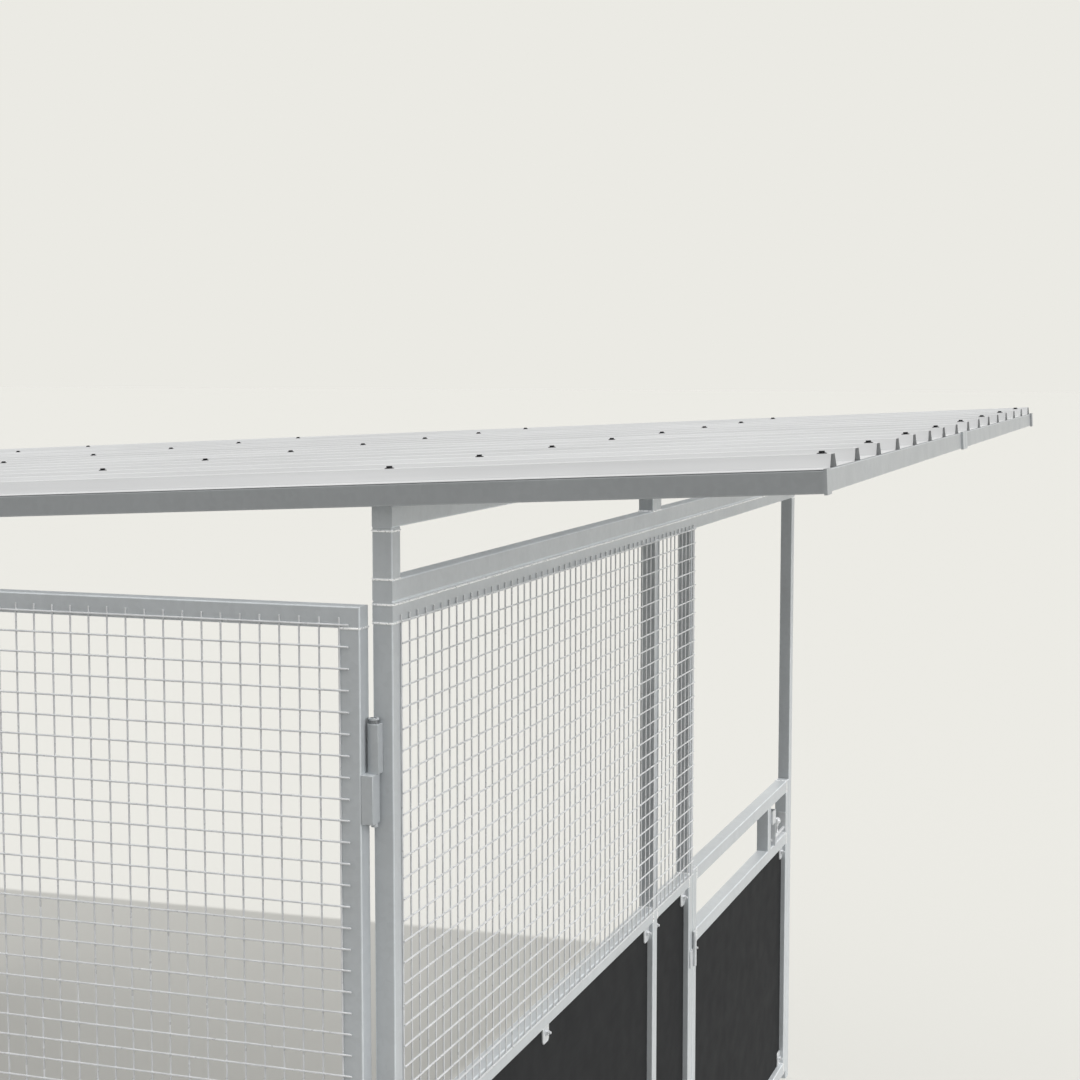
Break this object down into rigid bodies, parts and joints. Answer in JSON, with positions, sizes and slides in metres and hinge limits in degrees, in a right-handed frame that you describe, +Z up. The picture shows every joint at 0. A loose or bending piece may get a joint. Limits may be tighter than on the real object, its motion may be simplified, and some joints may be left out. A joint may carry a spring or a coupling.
{
  "type": "steel horse stable",
  "caption": "Steel-tube horse stable with meshed panels, dark boards, a half-door with a slide bolt, a side gate on pins and a pitched trapezoid-sheet roof.",
  "frame": {"origin": "middle of the bounding box's footprint, on the ground", "axes": "-Y out of the front wall with the half-door, +Y towards the low back of the roof, -X out of the gate, +X the open side, +Z up"},
  "size_m": [4.6119, 5.505, 3.0054],
  "materials": {
    "galvanised": "hot-dip galvanised tube, dull and faintly mottled",
    "roof_sheet": "pale coated profiled sheet, fine streaks along the ribs",
    "board": "near-black board, satin, faint grain",
    "wire": "galvanised welded wire, brighter than the tube",
    "hardware": "zinc-plated hinges and bolts",
    "screw": "near-black screw head and sealing washer"
  },
  "bodies": {
    "stable": {"back_board_left": "board", "back_board_right": "board", "back_frame": "galvanised", "back_mesh": "wire", "door_hinge_leaf_lower": "hardware", "door_hinge_leaf_upper": "hardware", "front_board_left": "board", "front_board_right": "board", "front_bottom_rail_left": "galvanised", "front_bottom_rail_right": "galvanised", "front_centre_stile": "galvanised", "front_corner_stile": "galvanised", "front_door_stile": "galvanised", "front_end_stile": "galvanised", "front_mesh": "wire", "front_mid_rail_left": "galvanised", "front_mid_rail_right": "galvanised", "front_top_beam": "galvanised", "front_top_rail": "galvanised", "gate_post_lug_lower": "hardware", "gate_post_lug_upper": "hardware", "gate_strike": "hardware", "roof_back_rail_left": "galvanised", "roof_back_rail_right": "galvanised", "roof_beam_left": "galvanised", "roof_beam_right": "galvanised", "roof_front_rail_left": "galvanised", "roof_front_rail_right": "galvanised", "roof_inner_rail_left": "galvanised", "roof_inner_rail_right": "galvanised", "roof_outer_rail_left": "galvanised", "roof_outer_rail_right": "galvanised", "roof_purlin_left_1": "galvanised", "roof_purlin_left_2": "galvanised", "roof_purlin_left_3": "galvanised", "roof_purlin_left_4": "galvanised", "roof_purlin_right_1": "galvanised", "roof_purlin_right_2": "galvanised", "roof_purlin_right_3": "galvanised", "roof_purlin_right_4": "galvanised", "roof_sheet_left": "roof_sheet", "roof_sheet_right": "roof_sheet", "stub_centre": "galvanised", "stub_corner": "galvanised", "stub_end": "galvanised"},
    "door": {"door_frame": "galvanised", "door_board": "board", "door_hinge_knuckle_lower": "hardware", "door_hinge_knuckle_upper": "hardware", "door_latch_body": "hardware"},
    "door_bolt": {"door_bolt": "hardware"},
    "gate": {"gate_frame": "galvanised", "gate_board_front": "board", "gate_board_rear": "board", "gate_mesh": "wire", "gate_lug_lower": "hardware", "gate_lug_upper": "hardware", "gate_latch_body": "hardware"},
    "gate_bolt": {"gate_bolt": "hardware"}
  },
  "joints": [
    {"name": "door_swing", "type": "hinge", "parent": "stable", "child": "door", "pos_m": [0.515, -1.75741, 0.665], "axis": [0, 0, -1], "range_deg": [0, 110]},
    {"name": "door_bolt_slide", "type": "slide", "parent": "door", "child": "door_bolt", "axis": [1, 0, 0], "range_m": [0, 0.045]},
    {"name": "gate_swing", "type": "hinge", "parent": "stable", "child": "gate", "pos_m": [-2.232, -1.70641, 1.3568], "axis": [0, 0, 1], "range_deg": [0, 90]},
    {"name": "gate_bolt_slide", "type": "slide", "parent": "gate", "child": "gate_bolt", "axis": [0, 1, 0], "range_m": [0, 0.045]}
  ]
}
